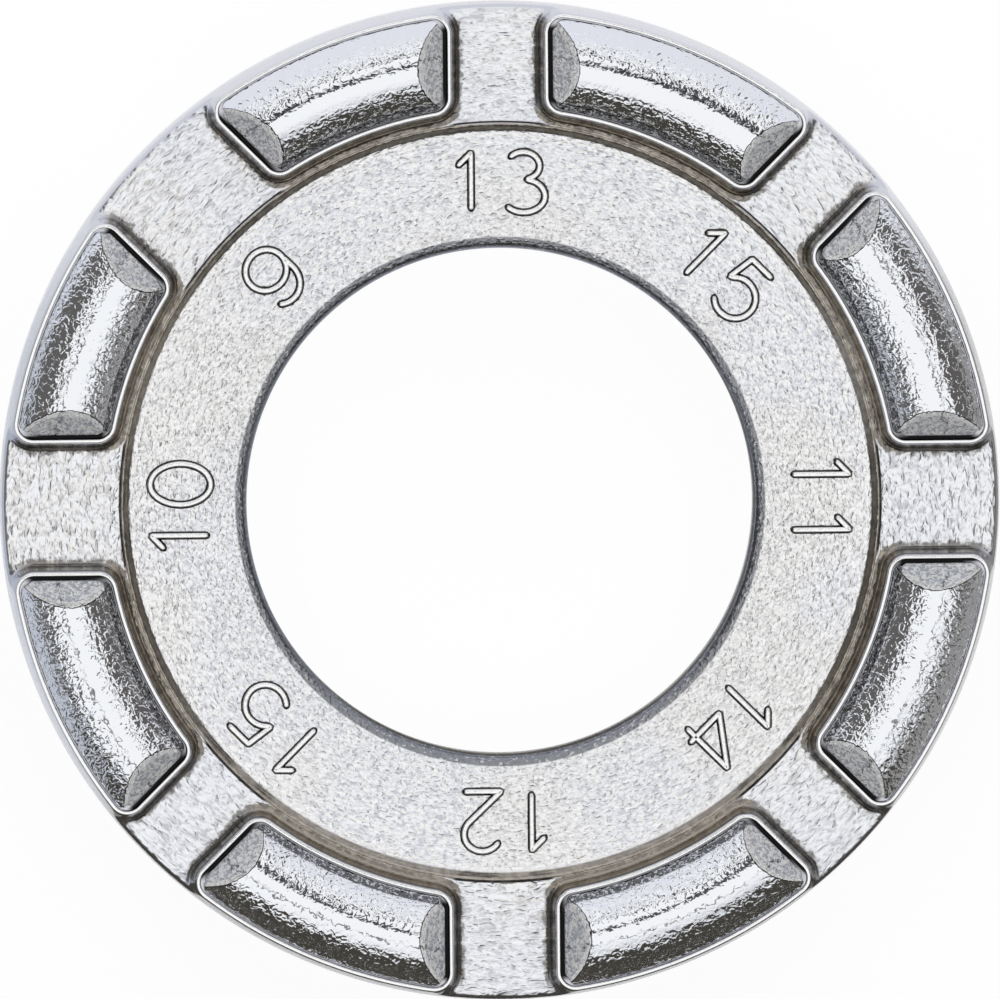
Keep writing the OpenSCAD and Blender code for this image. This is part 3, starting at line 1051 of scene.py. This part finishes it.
# Painted shade along the bar's inner edge under the lip, broken by the grit.
gritty = add(tree, SMOOTH, [grit, 0.5, 0.62, 1.0, 0.3])
inner_edge_shade = overlap(tree, close_to(tree, radius, *INNER_EDGE_SHADE), gritty, 0.85)
print("bar's finish, nodes so far:", len(tree.nodes))

# %% [markdown]
# ## Polished steel: the finish
# Two bumps follow one another: the lumps under the polish, then the grit of the ground ends. The
# ends scatter light from their many small scratches, so they are made less of a metal and
# rougher, which keeps them an even, speckled grey from every side.

# %% Material: chrome plated polished steel
LUMP_DEPTH, GRIT_DEPTH, SCATTER, POLISHED, GROUND = 0.1, 0.12, 0.8, 0.07, 0.58

plain = add(tree, "ShaderNodeNewGeometry", out="Normal")
upwards = add(tree, JOIN, {2: add(tree, SIGN, [height])})
# Under the painted crease highlight the normal is turned upwards as well.
highlight_normal = add(tree, VECTOR_MIX, {0: crease_highlight, 4: plain, 5: upwards}, 1)
lump_bump = {"Height": surface, "Distance": LUMP_DEPTH * MM, "Strength": unevenness, "Normal": highlight_normal}
lumpy = add(tree, BUMP, lump_bump)
grit_bump = {"Height": grit, "Distance": GRIT_DEPTH * MM, "Strength": dull, "Normal": lumpy}
ground_tint = layered(tree, "#c2c6d0", (add(tree, SMOOTH, [grit, 0.38, 0.58]), "#ffffff"))
# Ground ends, then the painted highlight and the painted dark lines.
steel_tint = layered(
    tree,
    "#f2f4f8",
    (dull, ground_tint),
    (crease_highlight, "#ffffff"),
    (inner_edge_shade, "#35353a"),
    (crown_reflection_line, "#3c3e44"),
    (crease, "#2b2a2b"),
)
scatter = add(tree, TIMES, [dull, SCATTER])
frost = add(tree, MINUS, [dull, crease_highlight])
# Chrome on polished steel: close to a mirror, so the eye sees the room in it, drawn out along
# the bar and broken up by the lumps.
steel_set = {
    "Base Color": steel_tint,
    "Metallic": add(tree, MINUS, [1.0, scatter]),
    "Roughness": add(tree, SMOOTH, [frost, 0.0, 1.0, POLISHED, GROUND]),
    "Normal": add(tree, BUMP, grit_bump),
}
add(tree, SURFACE, {"Surface": add(tree, METAL, steel_set)})
print("bar's finish, nodes in all:", len(tree.nodes))

# %% [markdown]
# ## All the bars
# One function runs a tree on an object and keeps what comes out as a plain mesh, because the
# export reads meshes and no live modifiers. A modifier's inputs are set by their identifiers.
# The bars on the back are the same blanks, raised downwards.


# %% Bars
def through_tree(blank, tree, name, settings):
    """A plain mesh object of what the tree makes of the blank."""
    modifier = blank.modifiers.new(tree.name, "NODES")
    modifier.node_group = tree
    for item in tree.interface.items_tree:
        if item.in_out == "INPUT" and item.name in settings:
            modifier[item.identifier] = settings[item.name]
    ready = blank.evaluated_get(bpy.context.evaluated_depsgraph_get())
    made = bpy.data.objects.new(name, bpy.data.meshes.new_from_object(ready))
    bpy.context.scene.collection.objects.link(made)
    bpy.data.objects.remove(blank)
    return made


raise_a_bar = bar_tree(polish)
for k, gauge in enumerate(GAUGES):
    next_gauge = GAUGES[(k + 1) % len(GAUGES)]
    for side, face in ((1, "front"), (-1, "back")):
        node_name = f"{face}_bar_{gauge}_{next_gauge}"
        settings = {"Side": float(side)}
        bar = through_tree(bar_blank(k, side), raise_a_bar, "polished_" + node_name, settings)
        shade(bar.data, BAR_SHARP)
        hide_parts(node_name)
        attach(bar, "root")
print("faces in a bar:", len(bar.data.polygons))

# %% [markdown]
# ## Gauge numbers
# The numbers were cut into the mould, so on the ring they stand up as thin round ridges. A font
# would give flat-topped letters of the wrong style. Each digit is drawn as a few strokes instead,
# the way a sign writer would, and placed on the band with its foot towards the hole.

# %% Strokes of the digits
DIGIT_H, DIGIT_BASE_R, DEGREES_A_POINT = 2.66, 13.05, 5


def bow(x, y, rx, ry, start, stop):
    """Points on a stretch of an ellipse, from start to stop in degrees."""
    count = max(3, int(abs(stop - start) / DEGREES_A_POINT))
    turns = np.radians(np.linspace(start, stop, count))
    return np.stack([x + rx * np.cos(turns), y + ry * np.sin(turns)], 1)


def path(*parts):
    return np.concatenate([np.atleast_2d(part) for part in parts])


STROKES = {
    "0": [bow(0, 1.33, 0.92, 1.36, 90, 450)],
    "1": [path([-0.68, DIGIT_H - 0.66], [0, DIGIT_H], [0, 0])],
    "2": [path(bow(0, 1.92, 0.82, 0.78, 160, -38), [-0.86, 0], [0.9, 0])],
    "3": [bow(-0.02, 2.06, 0.74, 0.62, 152, -90), bow(0, 0.7, 0.95, 0.74, 90, -150)],
    "4": [path([0.5, 0], [0.5, DIGIT_H], [-1.0, 0.68], [0.98, 0.68])],
    "5": [
        path([0.68, DIGIT_H], [-0.66, DIGIT_H], [-0.84, 1.42], bow(0, 0.88, 0.94, 0.92, 136, -146))
    ],
    "9": [bow(0, 1.78, 0.95, 0.9, 0, 360), path([0.95, 1.78], bow(0, 1, 0.96, 1, 0, -140))],
}
print("points in each digit:", {key: sum(map(len, value)) for key, value in STROKES.items()})

# %% [markdown]
# Each number lists its digits with their places across the channel's line. All strokes go into
# one mesh of bare edges. A stroke that ends where it began is closed, so it gets no end caps.

# %% Strokes on the band
NUMERALS = {
    9: [("9", 0.05)],
    10: [("1", -1.38), ("0", 0.93)],
    11: [("1", -1.1), ("1", 1.4)],
    12: [("1", -1.3), ("2", 0.93)],
    13: [("1", -1.2), ("3", 1.17)],
    14: [("1", -1.2), ("4", 0.9)],
    15: [("1", -1.25), ("5", 1.1)],
}


def stroke_mesh():
    points, edges = [], []
    for k, gauge in enumerate(GAUGES):
        for digit, x in NUMERALS[gauge]:
            for stroke in STROKES[digit]:
                closed = np.allclose(stroke[0], stroke[-1])
                shifted = (stroke[:-1] if closed else stroke) + [x, DIGIT_BASE_R]
                first = len(points)
                points += turned(shifted, k * PITCH - math.pi / 2).tolist()
                edges += [(i, i + 1) for i in range(first, len(points) - 1)]
                if closed:
                    edges.append((len(points) - 1, first))
    mesh = bpy.data.meshes.new("strokes")
    on_band = np.c_[np.array(points), np.full(len(points), BAND_H)] * MM
    mesh.from_pydata(on_band.tolist(), edges, [])
    strokes = bpy.data.objects.new("strokes", mesh)
    bpy.context.scene.collection.objects.link(strokes)
    return strokes


strokes = stroke_mesh()
print("edges in the strokes:", len(strokes.data.edges))

# %% [markdown]
# ## The tree that sweeps the strokes
# A Geometry Nodes tree turns the edges to curves, spaces their points evenly and sweeps one
# rounded trapezium along them, sunk a little into the band. Near an open end the profile shrinks
# as a circle would, which makes the end round.

# %% Tree that sweeps the strokes
SHRINK_LIMIT, FILLET_POINTS = 0.96, 4


def ridge_tree(material):
    sizes = {
        "Foot width": 0.54 * MM,
        "Top width": 0.16 * MM,
        "Ridge height": 0.22 * MM,
        "Sunk": 0.04 * MM,
        "Softness": 0.07 * MM,
        "Step": 0.04 * MM,
        "Material": material,
    }
    tree, given = new_tree("Sweep the strokes", sizes)
    line = add(tree, "GeometryNodeMeshToCurve", {"Mesh": given["Geometry"]})
    step = {"Curve": line, "Length": given["Step"]}
    even = add(tree, "GeometryNodeResampleCurve", step, mode="LENGTH")

    length = add(tree, "GeometryNodeSplineLength", out="Length")
    here = add(tree, "GeometryNodeSplineParameter", out="Length")
    to_end = add(tree, LESSER, [here, add(tree, MINUS, [length, here])])
    half = add(tree, TIMES, [given["Foot width"], 0.5])
    inward = add(tree, MINUS, [1.0, add(tree, OVER, [to_end, half])])
    inward = add(tree, "ShaderNodeClamp", {"Value": inward, "Max": SHRINK_LIMIT})
    open_end = add(tree, MINUS, [1.0, add(tree, TIMES, [inward, inward])])
    open_end = add(tree, ROOT, [open_end])
    cyclic = add(tree, "GeometryNodeInputSplineCyclic")
    choice = {"Switch": cyclic, "False": open_end, "True": 1.0}
    scale = add(tree, "GeometryNodeSwitch", choice, input_type="FLOAT")
    sized = add(tree, "GeometryNodeSetCurveRadius", {"Curve": even, "Radius": scale})
    upright = add(tree, "GeometryNodeSetCurveNormal", {"Curve": sized}, mode="Z_UP")

    shape = {
        "Bottom Width": given["Foot width"],
        "Top Width": given["Top width"],
        "Height": given["Ridge height"],
        "Offset": 0.0,
    }
    section = add(tree, "GeometryNodeCurvePrimitiveQuadrilateral", shape, mode="TRAPEZOID")
    rounding = {"Curve": section, "Radius": given["Softness"], "Count": FILLET_POINTS}
    soft = add(tree, "GeometryNodeFilletCurve", rounding, mode="POLY")
    half_height = add(tree, TIMES, [given["Ridge height"], 0.5])
    drop = add(tree, MINUS, [given["Sunk"], half_height])
    placed = {
        "Geometry": soft,
        "Translation": add(tree, JOIN, {1: drop}),
        "Rotation": (0, 0, math.pi),
    }
    swept = {
        "Curve": upright,
        "Profile Curve": add(tree, "GeometryNodeTransform", placed),
        "Scale": scale,
        "Fill Caps": True,
    }
    return end_tree(tree, add(tree, "GeometryNodeCurveToMesh", swept), given["Material"])


# %% [markdown]
# ## The numbers' finish
# The ridges get a painted highlight along the top, and painted shade on their flanks and feet.
# Height is all that the mask needs, because the band under them is level.

# %% Material: chrome plated raised numbers
HIGHLIGHT_TOP_MM, NUMBER_ROUGHNESS = (1.315, 1.37), 0.26
NUMBER_LUMPS, NUMBER_DEPTH, NUMBER_BUMP = 0.2, 0.03, 0.7

ridges = new_material("chrome plated raised numbers")
tree = ridges.node_tree
place = add(tree, PLACES, out="Object")
# Painted highlight on the top of each ridge, painted shade below it.
top = [add(tree, SPLIT, [place], "Z"), *(x * MM for x in HIGHLIGHT_TOP_MM)]
lumps = add(tree, NOISE, {"Vector": place, "Scale": scale_for(NUMBER_LUMPS)})
lump_bump = {"Height": lumps, "Distance": NUMBER_DEPTH * MM, "Strength": NUMBER_BUMP}
# The same plate as the casting: a painted highlight along each stroke, between painted shade.
ridge_set = {
    "Base Color": layered(tree, "#3d3b3a", (add(tree, SMOOTH, top), "#ffffff")),
    "Metallic": 1.0,
    "Roughness": NUMBER_ROUGHNESS,
    "Normal": add(tree, BUMP, lump_bump),
}
add(tree, SURFACE, {"Surface": add(tree, METAL, ridge_set)})

numbers = through_tree(strokes, ridge_tree(ridges), "gauge_numbers", {})
shade(numbers.data, NUMBER_SHARP)
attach(numbers, "root")
heights = [v.co.z / MM for v in numbers.data.vertices]
print("numbers: faces", len(numbers.data.polygons), "from", min(heights), "to", max(heights))

# %% [markdown]
# ## The room
# Metal has no look of its own: it shows the room. Lamps would give hard highlights only, and a
# photograph of a studio wouldn't be this script's own, so the world is painted by direction: a
# pale ceiling that darkens to one side, a bright wall beyond the top of the picture, grey sides,
# a darker wall below, and a few dark things standing about, which give the bars their contrast.

# %% Colours of the room
DARK_THINGS = [
    (170, 29, 30, "#62605e"),
    (12, 28, 26, "#605d5b"),
    (292, 10, 33, "#45423c"),
    (245, 10, 33, "#45423c"),
]
CEILING_TILT, THING_SOFT = (115, 0), 0.02


def aim(azimuth, elevation):
    """The direction with these angles in degrees, as a vector of length 1."""
    turn, lift = math.radians(azimuth), math.radians(elevation)
    flat = math.cos(lift)
    return (flat * math.cos(turn), flat * math.sin(turn), math.sin(lift))


def surroundings(tree, way):
    """The colour of the room in the direction way, a vector of length 1."""
    east, north, high = add(tree, SPLIT, [way]).node.outputs
    to_east = add(tree, SMOOTH, [east, -0.5, 0.5])
    sides = layered(tree, "#c3c8d2", (to_east, "#949392"))
    above_south = add(tree, SMOOTH, [north, -0.9, -0.35])
    to_north = add(tree, SMOOTH, [north, 0.25, 0.7])
    walls = layered(tree, "#8a8379", (above_south, sides), (to_north, "#e9eaf0"))
    tilt = add(tree, DOT, [way, aim(*CEILING_TILT)], "Value")
    ceiling = layered(tree, "#b2b4b9", (add(tree, SMOOTH, [tilt, -0.9, -0.3]), "#ffffff"))
    room = layered(tree, walls, (add(tree, SMOOTH, [high, 0.45, 0.75]), ceiling))
    for azimuth, elevation, radius, dark in DARK_THINGS:
        rim = math.cos(math.radians(radius))
        ahead = add(tree, DOT, [way, aim(azimuth, elevation)], "Value")
        inside = add(tree, SMOOTH, [ahead, rim - THING_SOFT, rim + THING_SOFT])
        room = layered(tree, room, (inside, dark))
    return room


print("direction of the first dark thing:", [round(x, 2) for x in aim(*DARK_THINGS[0][:2])])

# %% [markdown]
# A thin dark ring hangs in that ceiling, the frame of a round lamp. The bars mirror it as the
# two dark lines along their crowns. The camera itself sees plain white in place of the room.

# %% World
LAMP_FRAME, LAMP_FRAME_DEG, LAMP_FRAME_EDGE = (90, 68), 15, (0.01, 0.004)

world = bpy.data.worlds.new("room")
bpy.context.scene.world = world
world.use_nodes = True
tree = world.node_tree
tree.nodes.clear()
way = add(tree, PLACES, out="Generated")
to_lamp = add(tree, DOT, [way, aim(*LAMP_FRAME)], "Value")
lamp_rim = math.cos(math.radians(LAMP_FRAME_DEG))
frame_mask = overlap(tree, close_to(tree, to_lamp, lamp_rim, *LAMP_FRAME_EDGE), 0.95)
seen = add(tree, "ShaderNodeLightPath", out="Is Camera Ray")
shown = layered(tree, surroundings(tree, way), (frame_mask, "#0c0c0c"), (seen, "#ffffff"))
light = add(tree, "ShaderNodeBackground", {"Color": shown})
add(tree, "ShaderNodeOutputWorld", {"Surface": light})
print("nodes in the world:", len(tree.nodes))

# %% [markdown]
# ## Floor and card
# The floor is pale paper: white for the camera and in reflections, while it still takes the
# ring's faint shadow. Flat on it lies a grey card with a hole, which only reflections see. It
# shows the colours of the room, because without it the steep walls and the rim would mirror
# white paper and vanish against it. Both can be seen through from below, so that the back of the
# ring can be looked at.

# %% Materials: paper floor and grey card
def one_sided(tree, front):
    """The shader front on the upper side, and nothing on the lower one."""
    behind = add(tree, "ShaderNodeNewGeometry", out="Backfacing")
    clear = add(tree, "ShaderNodeBsdfTransparent")
    return add(tree, "ShaderNodeMixShader", [behind, front, clear])


# Grey card: it glows with the colours of the room, so steep metal mirrors a room and no table.
card_paint = new_material("grey card")
tree = card_paint.node_tree
place = add(tree, PLACES, out="Object")
way = add(tree, UNIT, [place])
glow = add(tree, "ShaderNodeEmission", {"Color": surroundings(tree, way)})
add(tree, SURFACE, {"Surface": one_sided(tree, glow)})

# Matt paper: it scatters evenly, so the shadow is soft and no lamp shows in it.
PAPER_GLOW = 0.9
paper = new_material("pale paper floor")
tree = paper.node_tree
rays = add(tree, "ShaderNodeLightPath").node.outputs
bounced = add(tree, GREATER, [rays["Is Glossy Ray"], rays["Is Transmission Ray"]])
seen = add(tree, GREATER, [rays["Is Camera Ray"], bounced])
matt = add(tree, "ShaderNodeBsdfDiffuse", {"Color": "#f4f4f2"})
faint = add(tree, "ShaderNodeBsdfDiffuse", {"Color": "#707070"})
glow = add(tree, "ShaderNodeEmission", {"Strength": PAPER_GLOW})
white_paper = add(tree, "ShaderNodeAddShader", [glow, faint])
front = add(tree, "ShaderNodeMixShader", [seen, matt, white_paper])
add(tree, SURFACE, {"Surface": one_sided(tree, front)})
print("nodes in the floor's material:", len(tree.nodes))

# %% [markdown]
# Both sheets lie just below the lowest bars. The card begins a little outside the rim, and a disc
# of it lies under the finger hole, so it is one broad ring of faces and one round face.

# %% Floor and card
FLOOR_SIZE, FLOOR_GAP, CARD_GAP = 2000, 0.02, 0.01
CARD_OUTER_R, CARD_INNER_R, CARD_IN_HOLE_R, CARD_STEPS = 400, 24, 11, 96

below = -crown_h - FLOOR_GAP
square = np.array([[-1, -1], [1, -1], [1, 1], [-1, 1]]) * FLOOR_SIZE / 2
floor = add_mesh("floor", np.c_[square, np.full(4, below)], [[0, 1, 2, 3]])
floor.data.materials.append(paper)

card_radii = (CARD_OUTER_R, CARD_INNER_R, CARD_IN_HOLE_R)
card_rings = [sweep(0, r, 0, math.tau, CARD_STEPS)[0] for r in card_radii]
card_heights = np.full(len(card_radii) * CARD_STEPS, below + CARD_GAP)
around = np.arange(CARD_STEPS)
ahead = np.roll(around, -1)
card_faces = np.stack([around, ahead, ahead + CARD_STEPS, around + CARD_STEPS], 1).tolist()
card_faces.append((around + 2 * CARD_STEPS).tolist())
card = add_mesh("grey_card", np.c_[np.concatenate(card_rings), card_heights], card_faces)
card.data.materials.append(card_paint)
card.visible_camera = False
card.visible_shadow = False
card.visible_diffuse = False
print("floor at, mm:", round(below, 2))

# %% [markdown]
# The dressed pieces have to stay in the box of the CAD model.
